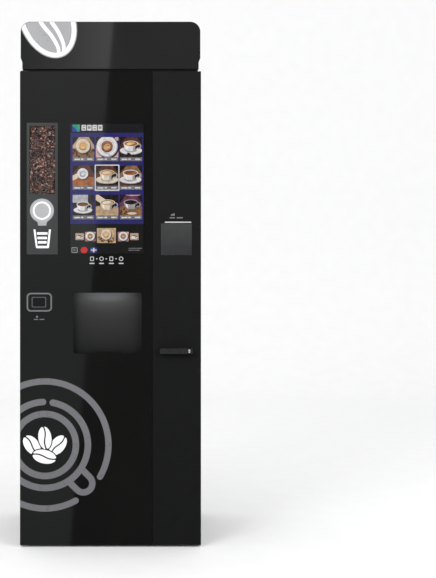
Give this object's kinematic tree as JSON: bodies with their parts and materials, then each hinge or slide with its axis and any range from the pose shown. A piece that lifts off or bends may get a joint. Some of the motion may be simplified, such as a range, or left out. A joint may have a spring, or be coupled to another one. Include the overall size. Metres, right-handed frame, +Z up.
{
  "type": "hot coffee vending machine",
  "caption": "Free-standing bean-to-cup vending machine: steel cabinet, hinged glass door with touch screen, cup outlet, powder canisters, grinder, brewer, bins and water can.",
  "frame": {"origin": "centre of the overall footprint on the floor", "axes": "+Z up, front faces -Y, +X to the right of someone facing the machine"},
  "size_m": [0.665, 0.584, 1.93],
  "materials": {
    "black_steel": "fine-textured powder coat",
    "gloss_panel": "back-printed glossy glass panel, opaque black",
    "matt_panel": "matt black lacquer",
    "black_plastic": "moulded",
    "rubber": "moulded rubber",
    "grey_steel": "grey powder coat",
    "white_plastic": "moulded, satin",
    "grey_plastic": "moulded, satin",
    "white_steel": "white powder coat",
    "silver": "brushed",
    "smoked": "smoke-tinted polycarbonate",
    "outlet_tint": "dark tinted plastic",
    "lamp": "frosted lamp cover",
    "screen": "touch display behind gloss glass",
    "display": "printed light box"
  },
  "bodies": {
    "cabinet": {"base_plinth": "black_steel", "front_sill": "black_steel", "side_panel_left": "black_steel", "side_panel_right": "black_steel", "rear_panel": "black_steel", "power_inlet": "black_plastic", "ceiling_panel": "black_steel", "hood_shell": "black_steel", "hood_fascia": "gloss_panel", "foot_front_left": "rubber", "foot_front_right": "rubber", "foot_rear_left": "rubber", "foot_rear_right": "rubber", "door_seal": "rubber", "hinge_top": "grey_steel", "hinge_bottom": "grey_steel", "bulkhead": "grey_steel", "mixer_shelf": "white_steel", "lower_shelf": "white_steel", "vent_grille": "white_steel", "led_bar": "lamp", "chute_1": "white_plastic", "chute_2": "white_plastic", "chute_3": "white_plastic", "mixing_unit_1": "black_plastic", "mixing_unit_2": "black_plastic", "mixing_unit_3": "black_plastic", "mixing_unit_4": "black_plastic", "bean_hopper": "smoked", "grinder": "silver", "brewer": "grey_plastic", "control_box": "grey_steel", "valve_box": "grey_steel"},
    "hopper_lid": {"hopper_lid": "smoked"},
    "waste_bin": {"waste_bin": "grey_plastic"},
    "drip_tray": {"drip_tray": "black_plastic"},
    "drip_grate": {"drip_grate": "silver"},
    "water_can": {"water_can": "white_plastic"},
    "door": {"door_tray": "black_steel", "door_glass": "gloss_panel", "side_fascia": "matt_panel", "touch_screen": "screen", "bean_display": "display", "pocket_tray": "black_plastic"},
    "pocket_flap": {"pocket_flap": "outlet_tint"},
    "outlet_door": {"outlet_door": "outlet_tint"},
    "door_handle": {"door_handle": "matt_panel"},
    "lock_cylinder": {"lock_cylinder": "silver"},
    "canister_1": {"canister_1": "white_plastic"},
    "canister_lid_1": {"canister_lid_1": "white_plastic"},
    "canister_2": {"canister_2": "white_plastic"},
    "canister_lid_2": {"canister_lid_2": "white_plastic"},
    "canister_3": {"canister_3": "white_plastic"},
    "canister_lid_3": {"canister_lid_3": "white_plastic"},
    "canister_4": {"canister_4": "white_plastic"},
    "canister_lid_4": {"canister_lid_4": "white_plastic"},
    "canister_5": {"canister_5": "white_plastic"},
    "canister_lid_5": {"canister_lid_5": "white_plastic"},
    "canister_6": {"canister_6": "white_plastic"},
    "canister_lid_6": {"canister_lid_6": "white_plastic"}
  },
  "joints": [
    {"name": "door_hinge", "type": "hinge", "parent": "cabinet", "child": "door", "pos_m": [-0.318, -0.25, 0], "axis": [0, 0, -1], "range_deg": [0, 110]},
    {"name": "outlet_door_slide", "type": "slide", "parent": "door", "child": "outlet_door", "axis": [0, 0, 1], "range_m": [0, 0.19]},
    {"name": "pocket_flap_hinge", "type": "hinge", "parent": "door", "child": "pocket_flap", "pos_m": [0.242, -0.2655, 1.1875], "axis": [-1, 0, 0], "range_deg": [0, 75]},
    {"name": "handle_turn", "type": "hinge", "parent": "door", "child": "door_handle", "pos_m": [0.288, -0.27, 0.721], "axis": [0, -1, 0], "range_deg": [0, 90]},
    {"name": "lock_turn", "type": "hinge", "parent": "door_handle", "child": "lock_cylinder", "pos_m": [0.288, -0.27, 0.721], "axis": [0, -1, 0], "range_deg": [0, 90]},
    {"name": "hopper_lid_hinge", "type": "hinge", "parent": "cabinet", "child": "hopper_lid", "pos_m": [-0.22, 0.04, 1.5664], "axis": [-1, 0, 0], "range_deg": [0, 60]},
    {"name": "waste_bin_slide", "type": "slide", "parent": "cabinet", "child": "waste_bin", "axis": [0, -1, 0], "range_m": [0, 0.055]},
    {"name": "drip_tray_slide", "type": "slide", "parent": "cabinet", "child": "drip_tray", "axis": [0, -1, 0], "range_m": [0, 0.06]},
    {"name": "drip_grate_lift", "type": "slide", "parent": "drip_tray", "child": "drip_grate", "axis": [0, 0, 1], "range_m": [0, 0.03]},
    {"name": "water_can_slide", "type": "slide", "parent": "cabinet", "child": "water_can", "axis": [0, -1, 0], "range_m": [0, 0.04]},
    {"name": "canister_lift_1", "type": "slide", "parent": "cabinet", "child": "canister_1", "axis": [0, 0, 1], "range_m": [0, 0.035]},
    {"name": "canister_lid_hinge_1", "type": "hinge", "parent": "canister_1", "child": "canister_lid_1", "pos_m": [-0.071, 0.08, 1.5714], "axis": [-1, 0, 0], "range_deg": [0, 32]},
    {"name": "canister_lift_2", "type": "slide", "parent": "cabinet", "child": "canister_2", "axis": [0, 0, 1], "range_m": [0, 0.035]},
    {"name": "canister_lid_hinge_2", "type": "hinge", "parent": "canister_2", "child": "canister_lid_2", "pos_m": [-0.003, 0.08, 1.5714], "axis": [-1, 0, 0], "range_deg": [0, 32]},
    {"name": "canister_lift_3", "type": "slide", "parent": "cabinet", "child": "canister_3", "axis": [0, 0, 1], "range_m": [0, 0.035]},
    {"name": "canister_lid_hinge_3", "type": "hinge", "parent": "canister_3", "child": "canister_lid_3", "pos_m": [0.065, 0.08, 1.5714], "axis": [-1, 0, 0], "range_deg": [0, 32]},
    {"name": "canister_lift_4", "type": "slide", "parent": "cabinet", "child": "canister_4", "axis": [0, 0, 1], "range_m": [0, 0.035]},
    {"name": "canister_lid_hinge_4", "type": "hinge", "parent": "canister_4", "child": "canister_lid_4", "pos_m": [0.133, 0.08, 1.5714], "axis": [-1, 0, 0], "range_deg": [0, 32]},
    {"name": "canister_lift_5", "type": "slide", "parent": "cabinet", "child": "canister_5", "axis": [0, 0, 1], "range_m": [0, 0.035]},
    {"name": "canister_lid_hinge_5", "type": "hinge", "parent": "canister_5", "child": "canister_lid_5", "pos_m": [0.201, 0.08, 1.5714], "axis": [-1, 0, 0], "range_deg": [0, 32]},
    {"name": "canister_lift_6", "type": "slide", "parent": "cabinet", "child": "canister_6", "axis": [0, 0, 1], "range_m": [0, 0.035]},
    {"name": "canister_lid_hinge_6", "type": "hinge", "parent": "canister_6", "child": "canister_lid_6", "pos_m": [0.269, 0.08, 1.5714], "axis": [-1, 0, 0], "range_deg": [0, 32]}
  ]
}
